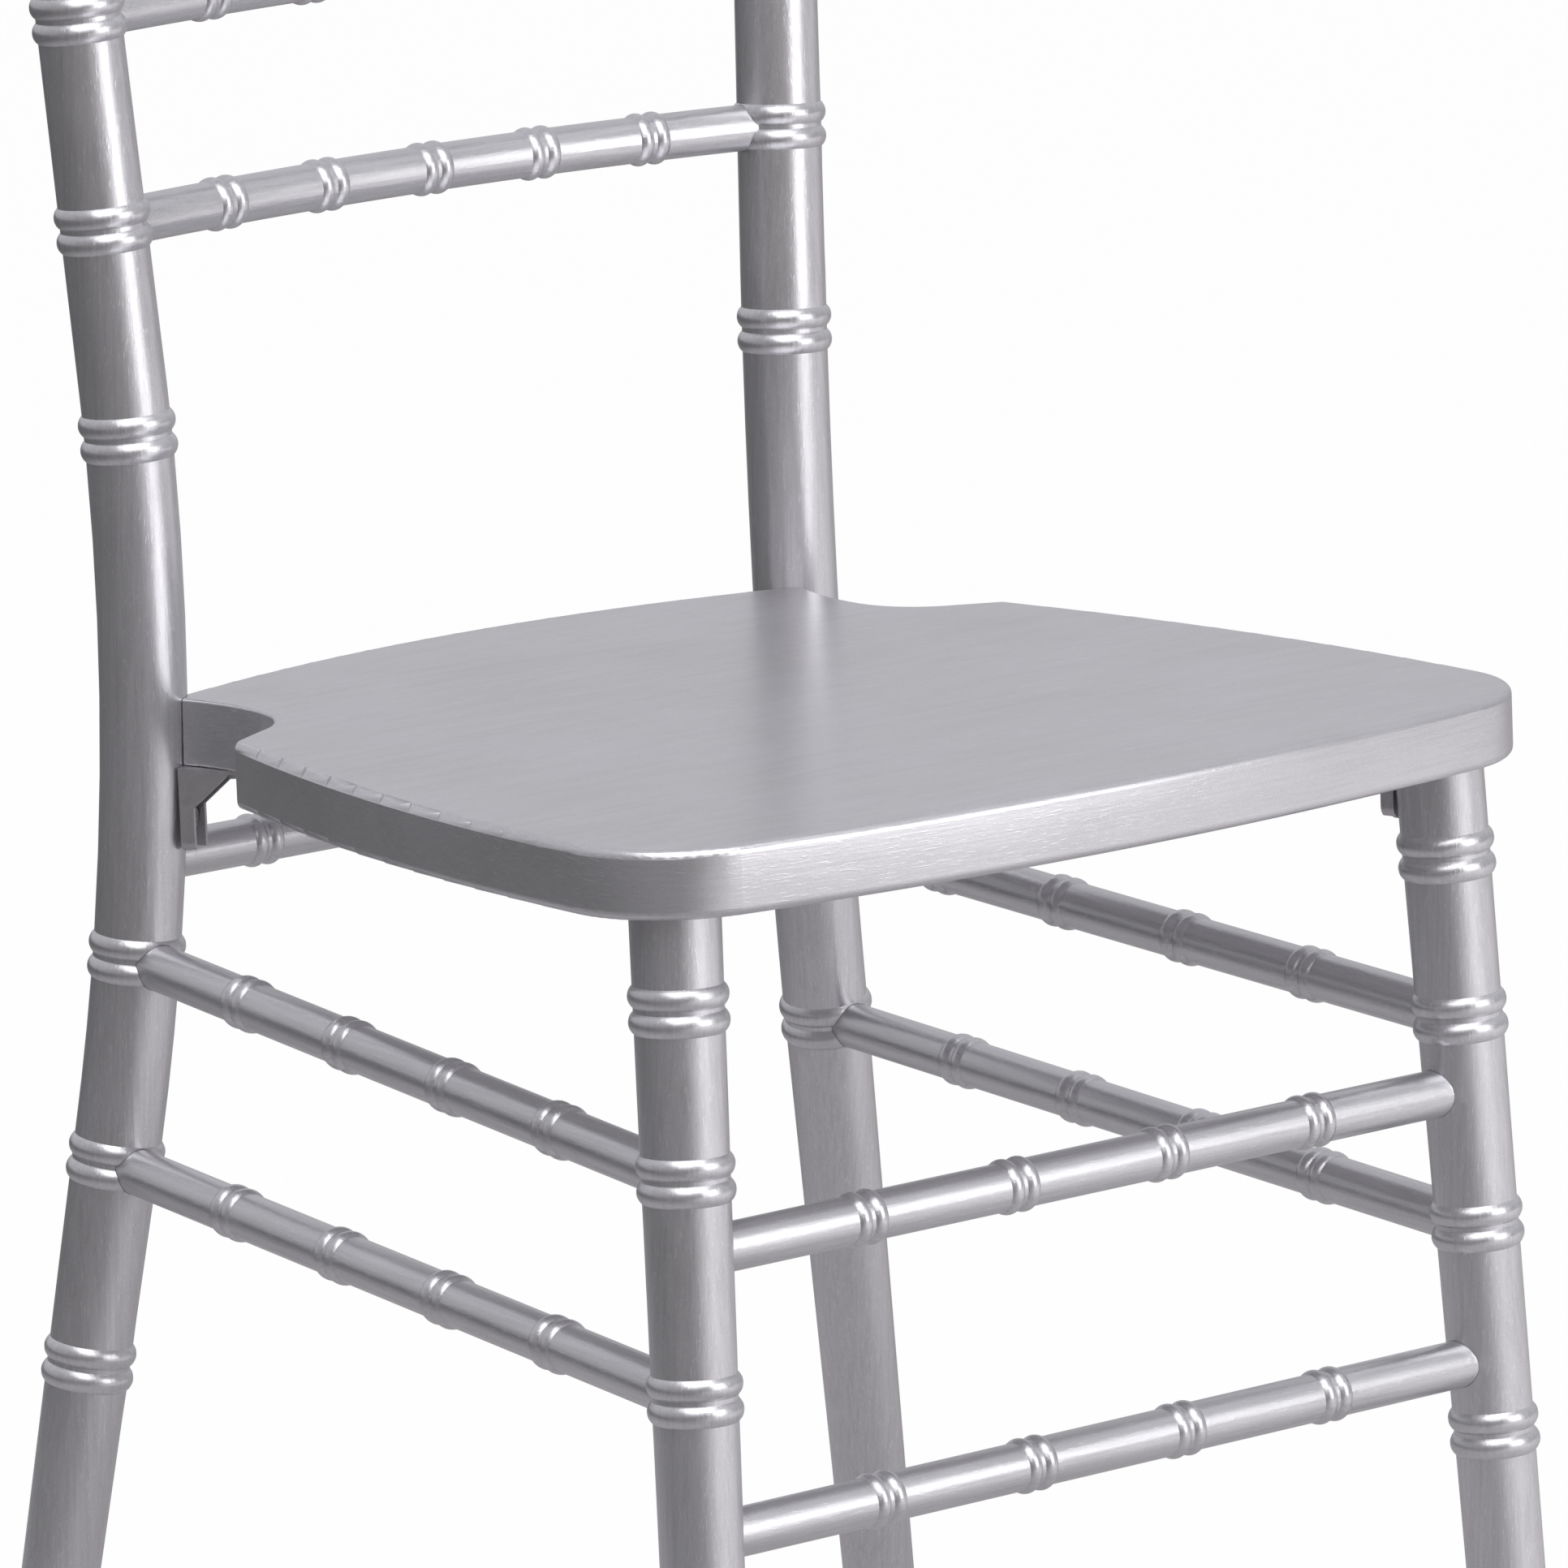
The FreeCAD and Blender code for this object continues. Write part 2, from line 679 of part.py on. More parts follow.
def brace_body(label, kind):
    """Folded bracket. Its back lies on X-Z, its top on X-Y, and it runs towards -Y."""
    body = new_body(label)
    sketch = new_sketch(body, label + "_side", "YZ_Plane")
    run, height = size("brace_run"), size(kind + "brace_height")
    foot = "-$%sbrace_height" % kind
    lip, shoulder = size("brace_lip"), size("brace_shoulder")
    web_run, sheet_t = size("brace_web_run"), size("brace_sheet")
    draw_loop(sketch, [
        corner(0, 0, "0", "0"),
        corner(0, -height, "0", foot),
        corner(-lip, -height, "-$brace_lip", foot),
        corner(-lip, -shoulder, "-$brace_lip", "-$brace_shoulder"),
        corner(-web_run, -sheet_t, "-$brace_web_run", "-$brace_sheet"),
        corner(-run, -sheet_t, "-$brace_run", "-$brace_sheet"),
        corner(-run, 0, "-$brace_run", "0"),
    ])
    pad = body.newObject("PartDesign::Pad", label + "_block")
    pad.Profile = sketch
    bind(pad, "Length", "$brace_width")
    pad.Midplane = True
    body.Tip = pad
    doc.recompute()
    round_over(body, label + "_tip", pad, "$brace_tip_radius",
               lambda edge: is_tip_edge(edge, height))
    hollow = new_sketch(body, label + "_inside", "YZ_Plane")
    draw_loop(hollow, [
        corner(-sheet_t, -sheet_t, "-$brace_sheet", "-$brace_sheet"),
        corner(-sheet_t, -height - 2, "-$brace_sheet", foot + " - 2"),
        corner(-run - 2, -height - 2, "-$brace_run - 2", foot + " - 2"),
        corner(-run - 2, -sheet_t, "-$brace_run - 2", "-$brace_sheet"),
    ])
    pocket = body.newObject("PartDesign::Pocket", label + "_hollow")
    pocket.Profile = hollow
    bind(pocket, "Length", "$brace_width - 2 * $brace_sheet")
    pocket.Midplane = True
    body.Tip = pocket
    doc.recompute()
    for plane, name in (("XZ_Plane", "post"), ("XY_Plane", "seat")):
        hole_sketch = new_sketch(body, "%s_%s_slot" % (label, name), plane)
        alias = kind + "brace_screw_drop" if name == "post" else "brace_screw_run"
        place, formula = -size(alias), "-$" + alias
        radius = size("screw_radius")
        hole_sketch.addGeometry(
            Part.Circle(Vector(0, place, 0), Vector(0, 0, 1), radius), False)
        hole_sketch.addConstraint(Sketcher.Constraint("PointOnObject", 0, 3, -2))
        made = hole_sketch.addConstraint(
            Sketcher.Constraint("DistanceY", -1, 1, 0, 3, place))
        bind(hole_sketch, "Constraints[%d]" % made, formula)
        made = hole_sketch.addConstraint(Sketcher.Constraint("Radius", 0, radius))
        bind(hole_sketch, "Constraints[%d]" % made, "$screw_radius + $fit")
        hole = body.newObject("PartDesign::Pocket", "%s_%s_hole" % (label, name))
        hole.Profile = hole_sketch
        hole.Length = 8
        hole.Midplane = True
        body.Tip = hole
        doc.recompute()
    return body


def is_tip_edge(edge, height):
    """The two short edges across the sheet at the brace's lower end."""
    box = edge.BoundBox
    low = abs(box.ZMax + height) < 0.01 and abs(box.ZMin + height) < 0.01
    return low and box.YLength > 1 and box.XLength < 0.01


screws = []


def drive_screw(name, head_point, direction, socket_list, clear_of_surface):
    """A pan-head screw; direction points from the head into the wood."""
    head = cylinder(name + "_head", "$screw_head_radius", size("screw_head_height"),
                    head_point - direction * size("screw_head_height"), direction)
    shank = cylinder(name + "_shank", "$screw_radius", size("screw_length"),
                     head_point, direction)
    screw = doc.addObject("Part::Fuse", name)
    screw.Base = head
    screw.Tool = shank
    screws.append(screw)
    pilot = cylinder(name + "_pilot", "$screw_radius + $fit / 2",
                     size("screw_length") - clear_of_surface + 1,
                     head_point + direction * clear_of_surface, direction)
    socket_list.append(pilot)


def brace_contact(member, out):
    """Top corner of a brace that stands against a leg under the seat."""
    reach = member.point(below_seat("front_lower_drop")).y
    for _ in range(5):
        level = underside_height(reach)
        reach = member.point(level).y
    top = member.point(level) + out * (member.radius(level) + size("brace_gap"))
    top.z = underside_height(top.y) - size("brace_gap")
    return top


def fit_brace(label, kind, member, member_node, facing, side_sign):
    """Set a brace between the seat and a leg. It runs along facing, +Y or -Y, and inwards."""
    body = brace_body(label, kind)
    turn = math.radians(size(kind + "brace_turn"))
    plan = Vector(-side_sign * math.sin(turn), facing * math.cos(turn), 0)
    down = seat_frame.Rotation.multVec(Vector(0, 0, -1))
    out = seat_frame.Rotation.multVec(plan)
    side = down.cross(out)
    contact = brace_contact(member, out)
    body.Placement = Placement(contact, Rotation(side, out * -1, down * -1, "ZYX"))
    sheet_t = size("brace_sheet")
    drive_screw(label + "_leg_screw",
                contact + down * size(kind + "brace_screw_drop") + out * sheet_t,
                out * -1, sockets[member_node], 0.0)
    drive_screw(label + "_seat_screw",
                contact + out * size("brace_screw_run") + down * sheet_t,
                down * -1, sockets["seat_panel"], sheet_t)
    return keep(body)


for name, side in SIDES.items():
    fit_brace("brace_back_" + name, "", posts[name], "back_post_" + name, -1, side)
    fit_brace("brace_front_" + name, "front_", legs[name], "front_leg_" + name, 1, side)


# Glides: a round pad with a nail

for name in SIDES:
    for corner_name, member in (("front", legs[name]), ("back", posts[name])):
        label = "glide_%s_%s" % (corner_name, name)
        glide = new_body(label)
        profile = new_sketch(glide, label + "_profile", "XZ_Plane")
        edge = size("glide_edge")
        wide, tall = size("glide_radius"), size("glide_height")
        nail, nail_top = size("nail_radius"), size("glide_height") + size("nail_length")
        draw_loop(profile, [
            corner(0, 0, "0", "0"),
            corner(wide - edge, 0, "$glide_radius - $glide_edge", "0"),
            corner(wide, edge, "$glide_radius", "$glide_edge"),
            corner(wide, tall, "$glide_radius", "$glide_height"),
            corner(nail, tall, "$nail_radius", "$glide_height"),
            corner(nail, nail_top, "$nail_radius", "$glide_height + $nail_length"),
            corner(0, nail_top, "0", "$glide_height + $nail_length"),
        ])
        revolve(glide, profile, label + "_turned")
        foot = member.point(0)
        glide.Placement = Placement(Vector(foot.x, foot.y, 0), Rotation())
        keep(glide)
        node = ("front_leg_" if corner_name == "front" else "back_post_") + name
        sockets[node].append(cylinder(
            label + "_nail_hole", "$nail_radius + $fit", size("nail_length") + 3,
            Vector(foot.x, foot.y, size("glide_height") - 2), Vector(0, 0, 1)))
        saw = doc.addObject("Part::Box", label + "_level")
        saw.Length = 60
        saw.Width = 60
        saw.Height = 40
        saw.Placement = Placement(
            Vector(foot.x - 30, foot.y - 30, size("glide_height") - 40), Rotation())
        sockets[node].append(saw)


# Front legs

BELOW_FLOOR = 6.0

for name in SIDES:
    member = legs[name]
    label = "front_leg_" + name
    body = new_body(label)
    full = member.length + BELOW_FLOOR + size("seat_housing_depth")
    slope = (member.top_radius - member.foot_radius) / member.length
    low = member.foot_radius - slope * BELOW_FLOOR
    turned_cone(body, label + "_shaft", (low, "%.4f" % low), (member.top_radius, "$leg_top_radius"),
                (full, "%.4f" % full), (0.0, -BELOW_FLOOR, 0.0))
    step_end(body, label + "_tenon", "seat_",
             (0.0, member.length + size("seat_housing_depth"), 0.0), True)
    ring_heights = [below_seat("leg_collar_drop")] + low_rings(FRONT_LEG_RINGS[name])
    for number, height in enumerate(ring_heights):
        along = member.station(height)[0]
        ring_pair(body, "%s_ring_%d" % (label, number + 1), member.radius(height), "leg",
                  (0.0, along, 0.0))
    body.Placement = member.placement
    keep(cut_away(label, body, sockets[label]))
    top = member.point(underside_height(size("front_top_reach")))
    sockets["seat_panel"] += stepped_socket(
        label + "_seat_socket", top, member.direction * -1, -size("seat_housing_depth"),
        "$seat_tenon_radius", size("seat_tenon_length"), "$leg_top_radius",
        size("seat_housing_depth") + 8)


# Back posts

for name in SIDES:
    member = posts[name]
    label = "back_post_" + name
    body = new_body(label)
    slope = (member.mid_radius - member.foot_radius) / member.lower_length
    low = member.foot_radius - slope * BELOW_FLOOR
    lower_full = member.lower_length + BELOW_FLOOR
    middle = (member.mid_radius, "$post_radius")
    turned_cone(body, label + "_lower", (low, "%.4f" % low), middle,
                (lower_full, "%.4f" % lower_full), (0.0, -BELOW_FLOOR, 0.0))
    follow_arc(body, label + "_bend", "$post_radius", size("post_radius"),
               member.bend_radius, member.bend, member.lower_length)
    arc_end = member.local(member.lower_length + member.bend_radius * member.bend)
    turned_cone(body, label + "_upper", middle, (member.top_radius, "$post_top_radius"),
                (member.upper_length, "%.4f" % member.upper_length), arc_end)
    ring_heights = low_rings(LOW_POST_RINGS[name]) + back_ring_heights + [crest_height]
    for number, height in enumerate(ring_heights):
        ring_pair(body, "%s_ring_%d" % (label, number + 1), member.radius(height), "leg",
                  member.local(member.along(height)))
    total = member.lower_length + member.bend_radius * member.bend + member.upper_length
    finial = new_sketch(body, label + "_finial_profile", "XZ_Plane", *member.local(total))
    rise = size("finial_height")
    dome = size("post_top_radius") - 1.2
    dome_radius = (dome ** 2 + (rise - 4) ** 2) / (2 * (rise - 4))
    dome_formula = "(($post_top_radius - 1.2) ^ 2 + ($finial_height - 4) ^ 2)" \
        " / (2 * ($finial_height - 4))"
    draw_loop(finial, [
        corner(0, -1, "0", "-1"),
        corner(dome - 2.6, -1, "$post_top_radius - 3.8", "-1"),
        corner(dome - 2.6, 2.2, "$post_top_radius - 3.8", "2.2"),
        corner(dome, 4, "$post_top_radius - 1.2", "4", dome_formula, dome_radius),
        corner(0, rise, "0", "$finial_height"),
    ])
    revolve(body, finial, label + "_finial")
    body.Placement = member.placement
    keep(cut_away(label, body, sockets[label]))
    seat_level = size("seat_height") - size("seat_thickness")
    notch_axis = member.tangent(seat_level)
    notch_reach = size("seat_thickness") + 2 * size("post_radius")
    sockets["seat_panel"].append(cylinder(
        label + "_notch", "$post_radius + $notch_fit", 2 * notch_reach,
        member.point(seat_level) - notch_axis * notch_reach, notch_axis))


# Seat panel: a plywood board with a rounded edge and a tongue that goes between the posts

def near_corner(edge, places):
    """An upright edge of the board at one of the named plan places."""
    box = edge.BoundBox
    upright = box.XLength < 0.01 and box.YLength < 0.01
    return upright and any(
        abs(abs(box.XMin) - x) < 0.5 and abs(box.YMin - y) < 0.5 for x, y in places)


seat = new_body("seat_panel")
outline = new_sketch(seat, "seat_outline", "XY_Plane")
half = size("seat_half_width")
depth = size("seat_depth")
side_bow, front_bow, rear_bow = (size("seat_side_bow"), size("seat_front_bow"),
                                 size("seat_rear_bow"))


def side_edge(place):
    """Half width of the seat at a distance behind its front edge."""
    return half - side_bow + math.sqrt(side_bow ** 2 - (place - size("seat_widest_at")) ** 2)


def front_edge(across_place):
    """Distance of the front edge behind the foremost point."""
    return front_bow - math.sqrt(front_bow ** 2 - across_place ** 2)


front_x = side_edge(0)
for _ in range(20):
    front_y = front_edge(front_x)
    front_x = side_edge(front_y)
shoulder_y = size("shoulder_depth")
shoulder_x = side_edge(shoulder_y)
tongue_x = size("tongue_half_width")
tongue_y = depth - rear_bow + math.sqrt(rear_bow ** 2 - tongue_x ** 2)

scoop, long_scoop = size("scoop_radius"), size("scoop_long_radius")
start_x, start_y = size("scoop_start_width"), size("scoop_start_depth")
turn_x, turn_y = size("scoop_turn_width"), size("scoop_turn_depth")

right_half = [
    (front_x, front_y, "%.4f" % front_x, "%.4f" % front_y, "$seat_side_bow", side_bow),
    (shoulder_x, shoulder_y, "%.4f" % shoulder_x, "$shoulder_depth"),
    (start_x, start_y, "$scoop_start_width", "$scoop_start_depth", "$scoop_radius", -scoop),
    (turn_x, turn_y, "$scoop_turn_width", "$scoop_turn_depth", "$scoop_long_radius",
     -long_scoop),
    (tongue_x, tongue_y, "$tongue_half_width", "%.4f" % tongue_y, "$seat_rear_bow", rear_bow),
]
left_half = [
    (-tongue_x, tongue_y, "-$tongue_half_width", "%.4f" % tongue_y, "$scoop_long_radius",
     -long_scoop),
    (-turn_x, turn_y, "-$scoop_turn_width", "$scoop_turn_depth", "$scoop_radius", -scoop),
    (-start_x, start_y, "-$scoop_start_width", "$scoop_start_depth"),
    (-shoulder_x, shoulder_y, "%.4f" % -shoulder_x, "$shoulder_depth", "$seat_side_bow",
     side_bow),
    (-front_x, front_y, "%.4f" % -front_x, "%.4f" % front_y, "$seat_front_bow", front_bow),
]
draw_loop(outline, [corner(*entry) for entry in right_half + left_half])
board = seat.newObject("PartDesign::Pad", "seat_board")
board.Profile = outline
bind(board, "Length", "$seat_thickness")
board.Reversed = True
seat.Tip = board
doc.recompute()

board = round_over(seat, "seat_front_corners", board, "$seat_corner_radius",
                   lambda edge: near_corner(edge, [(front_x, front_y)]))


def rim_edge(edge, in_scoop):
    """A level edge of the board, in the scoops and shoulders or on the rest of the rim."""
    box = edge.BoundBox
    inside = abs(box.Center.x) > 10 and box.YMin > shoulder_y - 1
    return box.ZLength < 0.01 and inside == in_scoop


board = round_over(seat, "seat_soft_edge", board, "$seat_edge_radius",
                   lambda edge: rim_edge(edge, False))
round_over(seat, "seat_scoop_edge", board, "$scoop_edge_radius",
           lambda edge: rim_edge(edge, True))
seat.Placement = seat_frame
keep(cut_away("seat_panel", seat, sockets["seat_panel"]))

screw_group = doc.addObject("Part::Compound", "brace_screws")
screw_group.Links = screws
keep(screw_group)

doc.recompute()

# Checks and files

for item in doc.Objects:
    if "Invalid" in item.State or "Error" in item.State:
        raise RuntimeError("%s failed: %s" % (item.Name, item.State))
for piece in pieces:
    if piece.Shape.isNull() or not piece.Shape.isValid():
        raise RuntimeError("%s has no valid shape" % piece.Label)

os.makedirs("parts", exist_ok=True)
for piece in pieces:
    piece.Shape.exportStep(os.path.join("parts", piece.Label + ".step"))
    print("%-24s %8.1f cm3 %d solid" % (
        piece.Label, piece.Shape.Volume / 1000, len(piece.Shape.Solids)))
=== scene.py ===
import math

import bmesh
import bpy
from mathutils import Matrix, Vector

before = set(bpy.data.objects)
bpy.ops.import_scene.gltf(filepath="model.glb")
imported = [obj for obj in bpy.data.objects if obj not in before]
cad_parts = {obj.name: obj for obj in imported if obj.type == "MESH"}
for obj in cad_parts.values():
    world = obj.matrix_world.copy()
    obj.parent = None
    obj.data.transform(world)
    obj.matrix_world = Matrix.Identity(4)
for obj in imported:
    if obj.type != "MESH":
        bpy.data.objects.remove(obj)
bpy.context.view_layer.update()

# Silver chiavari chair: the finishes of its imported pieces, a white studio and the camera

scene = bpy.context.scene
scene.view_settings.view_transform = "Standard"


# Camera: long lens, a little above the seat, from the chair's front left

CAMERA_PLACE = (-2.6797, -3.48958, 1.5294)
DEGREES_DOWN = 14.272
DEGREES_ROUND = -37.660
LENS_MM = 291.59
SENSOR_MM = 36.0

camera_data = bpy.data.cameras.new("camera")
camera_data.lens = LENS_MM
camera_data.sensor_width = SENSOR_MM
camera_data.clip_end = 60.0
camera = bpy.data.objects.new("camera", camera_data)
camera.location = CAMERA_PLACE
camera.rotation_euler = (math.radians(90 - DEGREES_DOWN), 0.0, math.radians(DEGREES_ROUND))
scene.collection.objects.link(camera)
scene.camera = camera


# Building blocks of the finishes

def new_finish(name):
    material = bpy.data.materials.new(name)
    material.use_nodes = True
    tree = material.node_tree
    tree.nodes.clear()
    return material, tree


def node(tree, kind, sockets, **settings):
    """Add a node and fill its sockets: another node's output is linked, a plain value is set."""
    made = tree.nodes.new(kind)
    for setting, choice in settings.items():
        setattr(made, setting, choice)
    for socket, source in sockets.items():
        if isinstance(source, bpy.types.NodeSocket):
            tree.links.new(source, made.inputs[socket])
        else:
            made.inputs[socket].default_value = source
    return made


def along_piece(tree, scale=(1.0, 1.0, 1.0), turn=(0.0, 0.0, 0.0)):
    """Object coordinates in metres, stretched and turned to lie along a piece."""
    coords = node(tree, "ShaderNodeTexCoord", {})
    mapping = node(tree, "ShaderNodeMapping", {
        "Vector": coords.outputs["Object"], "Scale": scale, "Rotation": turn})
    return mapping.outputs["Vector"]


def noise(tree, coords, scale, detail, rough, distortion=0.0):
    made = node(tree, "ShaderNodeTexNoise", {
        "Vector": coords, "Scale": scale, "Detail": detail, "Roughness": rough,
        "Distortion": distortion})
    return made.outputs["Fac"]


def ramp(tree, value, low, high, at_low, at_high):
    """Value that runs from at_low to at_high while the input runs from low to high."""
    made = node(tree, "ShaderNodeMapRange", {0: value, 1: low, 2: high, 3: at_low, 4: at_high})
    return made.outputs[0]


def ramp_towards(tree, coords, direction, low, high, at_low, at_high):
    """Ramp over the distance that a point lies along a direction."""
    along = node(tree, "ShaderNodeVectorMath", {0: coords, 1: direction},
                 operation="DOT_PRODUCT")
    return ramp(tree, along.outputs["Value"], low, high, at_low, at_high)


def blend(tree, amount, first, second):
    """Colour between two others, the second one where the amount is one."""
    made = node(tree, "ShaderNodeMix", {0: amount, 6: first, 7: second},
                data_type="RGBA", blend_type="MIX")
    return made.outputs[2]


def maths(tree, operation, first, second):
    made = node(tree, "ShaderNodeMath", {0: first, 1: second}, operation=operation)
    return made.outputs[0]


def relief(tree, layers):
    """Bumps stacked on each other, each one given as height, strength and depth in metres."""
    normal = None
    for height, strength, depth in layers:
        sockets = {"Height": height, "Strength": strength, "Distance": depth}
        if normal is not None:
            sockets["Normal"] = normal
        normal = node(tree, "ShaderNodeBump", sockets).outputs["Normal"]
    return normal


def surface(tree, sockets):
    """Principled shader with the given sockets, joined to the material's output."""
    shader = node(tree, "ShaderNodeBsdfPrincipled", sockets)
    node(tree, "ShaderNodeOutputMaterial", {"Surface": shader.outputs["BSDF"]})


# Silver lacquer on wood: its usual tone, the duller one of thin places and the bright flakes

SILVER = (0.595, 0.59, 0.62, 1.0)
SILVER_DULL = (0.51, 0.50, 0.52, 1.0)
SILVER_BRIGHT = (0.80, 0.80, 0.82, 1.0)

FLAKES_PER_METRE = 1900.0


# Seat board: its fall to the back, its middle and just under half its thickness, in metres

SEAT_FALL = math.radians(3.7)
SEAT_UPRIGHT = (0.0, math.sin(SEAT_FALL), math.cos(SEAT_FALL))
SEAT_MIDDLE = 0.42956
SEAT_HALF = 0.0123


def silver_lacquer(name, grain_scale, speck_scale, turn=(0.0, 0.0, 0.0), grain_strength=0.3,
                   grain_tone=0.45, speck_tone=0.5, extra_relief=None):
    """Silver sprayed on sanded wood: thin grain, pale specks, fine flakes and orange peel. The
    scales say how many times a metre a pattern repeats along X, Y and Z."""
    material, tree = new_finish(name)
    plain = along_piece(tree)
    grain = noise(tree, along_piece(tree, grain_scale, turn), 1.0, 5.0, 0.6, 0.3)
    specks = noise(tree, along_piece(tree, speck_scale, turn), 1.0, 2.0, 0.5)
    cloud = noise(tree, plain, 14.0, 3.0, 0.55)
    flakes = noise(tree, plain, FLAKES_PER_METRE, 2.0, 0.7)
    peel = noise(tree, plain, 520.0, 2.0, 0.5)

    tone = blend(tree, ramp(tree, cloud, 0.3, 0.7, 0.25, 1.0), SILVER_DULL, SILVER)
    ridges = ramp(tree, grain, 0.35, 0.72, 0.0, grain_tone)
    tone = blend(tree, ridges, tone, SILVER_BRIGHT)
    furrows = ramp(tree, grain, 0.28, 0.45, 0.7 * grain_tone, 0.0)
    tone = blend(tree, furrows, tone, SILVER_DULL)
    tone = blend(tree, ramp(tree, specks, 0.60, 0.68, 0.0, speck_tone), tone, SILVER_BRIGHT)
    tone = blend(tree, ramp(tree, flakes, 0.3, 0.7, 0.0, 0.40), tone, SILVER_BRIGHT)

    layers = [extra_relief(tree)] if extra_relief else []
    layers += [(grain, grain_strength, 0.00015),
               (peel, 0.15, 0.0001),
               (ramp(tree, specks, 0.58, 0.70, 0.0, 1.0), 0.4, 0.00006),
               (flakes, 0.35, 0.00005)]
    surface(tree, {
        "Base Color": tone,
        "Metallic": 0.88,
        "Roughness": ramp(tree, cloud, 0.2, 0.8, 0.27, 0.33),
        "Coat Weight": 0.12,
        "Coat Roughness": 0.30,
        "Normal": relief(tree, layers)})
    return material


def barrelled_rim(tree):
    """Bump that bows the seat's side faces outwards by a hair between its top and underside."""
    level = ramp_towards(tree, along_piece(tree), SEAT_UPRIGHT, SEAT_MIDDLE - SEAT_HALF,
                         SEAT_MIDDLE + SEAT_HALF, -1.0, 1.0)
    height = maths(tree, "SUBTRACT", 1.0, maths(tree, "MULTIPLY", level, level))
    return height, 1.0, 0.0004


def upright_lacquer():
    """Legs, posts and spindles: the grain runs up and down."""
    return silver_lacquer("silver_posts", grain_scale=(700.0, 700.0, 22.0),
                          speck_scale=(1300.0, 1300.0, 260.0))


def cross_rung_lacquer():
    """Rungs and rails from side to side."""
    return silver_lacquer("silver_cross_rungs", grain_scale=(22.0, 700.0, 700.0),
                          speck_scale=(300.0, 1300.0, 1300.0), speck_tone=0.3)


def side_rung_lacquer():
    """Rungs from front to back."""
    return silver_lacquer("silver_side_rungs", grain_scale=(700.0, 22.0, 700.0),
                          speck_scale=(1300.0, 300.0, 1300.0), speck_tone=0.3)


def seat_lacquer():
    """The seat board, with its grain from side to side and few specks."""
    return silver_lacquer("silver_seat", grain_scale=(20.0, 160.0, 900.0),
                          speck_scale=(200.0, 200.0, 1300.0), turn=(SEAT_FALL, 0.0, 0.0),
                          grain_strength=0.35, grain_tone=0.25, speck_tone=0.15,
                          extra_relief=barrelled_rim)


def brace_paint():
    """The same silver over stamped sheet steel, a little rougher."""
    material, tree = new_finish("silver_braces")
    plain = along_piece(tree)
    wear = noise(tree, plain, 240.0, 5.0, 0.6)
    flakes = noise(tree, plain, FLAKES_PER_METRE, 2.0, 0.7)
    tone = blend(tree, ramp(tree, wear, 0.4, 0.75, 0.0, 0.6), SILVER_DULL, SILVER)
    tone = blend(tree, ramp(tree, flakes, 0.3, 0.7, 0.0, 0.25), tone, SILVER_BRIGHT)
    surface(tree, {
        "Base Color": tone,
        "Metallic": 0.9,
        "Roughness": ramp(tree, wear, 0.3, 0.7, 0.32, 0.46),
        "Normal": relief(tree, [(wear, 0.12, 0.0002), (flakes, 0.1, 0.00003)])})
    return material


def screw_zinc():
    """Zinc plate with a faint cloudy tarnish."""
    material, tree = new_finish("zinc_screws")
    tarnish = noise(tree, along_piece(tree), 700.0, 4.0, 0.6)
    tone = blend(tree, tarnish, (0.36, 0.35, 0.34, 1.0), (0.62, 0.62, 0.63, 1.0))
    surface(tree, {
        "Base Color": tone,
        "Metallic": 1.0,
        "Roughness": ramp(tree, tarnish, 0.3, 0.7, 0.25, 0.45),
        "Normal": relief(tree, [(tarnish, 0.1, 0.0002)])})
    return material


def glide_plastic():
    """Dark grey plastic, scuffed where it slides."""
    material, tree = new_finish("dark_glide_plastic")
    plain = along_piece(tree)
    grit = noise(tree, plain, 900.0, 4.0, 0.65)
    scuffs = noise(tree, plain, 130.0, 5.0, 0.6, 1.2)
    tone = blend(tree, ramp(tree, scuffs, 0.45, 0.8, 0.0, 0.7),
                 (0.045, 0.043, 0.043, 1.0), (0.14, 0.135, 0.13, 1.0))
    surface(tree, {
        "Base Color": tone,
        "Roughness": ramp(tree, scuffs, 0.3, 0.8, 0.42, 0.7),
        "Normal": relief(tree, [(grit, 0.2, 0.0002)])})
    return material


# Finish of each piece, by the start of its name; the first match counts

uprights = upright_lacquer()
cross_rungs = cross_rung_lacquer()
finishes = (
    ("seat_panel", seat_lacquer()),
    ("front_leg", uprights),
    ("back_post", uprights),
    ("spindle_rail", cross_rungs),
    ("spindle", uprights),
    ("crest_rail", cross_rungs),
    ("front_rung", cross_rungs),
    ("rear_rung", cross_rungs),
    ("back_rung", cross_rungs),
    ("side_rung", side_rung_lacquer()),
    ("brace_screws", screw_zinc()),
    ("brace", brace_paint()),
    ("glide", glide_plastic()),
)

for name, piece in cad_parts.items():
    chosen = next(finish for start, finish in finishes if name.startswith(start))
    for slot in piece.material_slots:
        slot.material = chosen


# Studio: white floor with a painted glow for the paint to mirror, backdrop, three soft lamps

FLOOR_HALF_WIDTH = 14.0
FLOOR_PAINT = (0.80, 0.80, 0.81, 1.0)
# Tint of the floor's painted glow, which glossy rays see in place of a lit floor
PAINTED_GLOW_TINT = (1.0, 0.965, 0.985, 1.0)
ROOM_LOW = (0.25, 0.232, 0.236, 1.0)
ROOM_HIGH = (0.62, 0.625, 0.65, 1.0)
WHITE = (1.0, 1.0, 1.0, 1.0)
SHARE_SHOWN_WHITE = 0.975
SHARE_MIRRORED = 0.9

# Directions and middle that grade the floor's painted glow and its painted pool of light, and the
# room's rise towards the ceiling
TOWARDS_FRONT = (0.0, -1.0, 0.0)
TOWARDS_RIGHT = (0.95, -0.3, 0.0)
TOWARDS_CEILING = (0.30, 0.45, 0.84)
PAINTED_POOL_MIDDLE = (0.15, 0.0, 0.0)


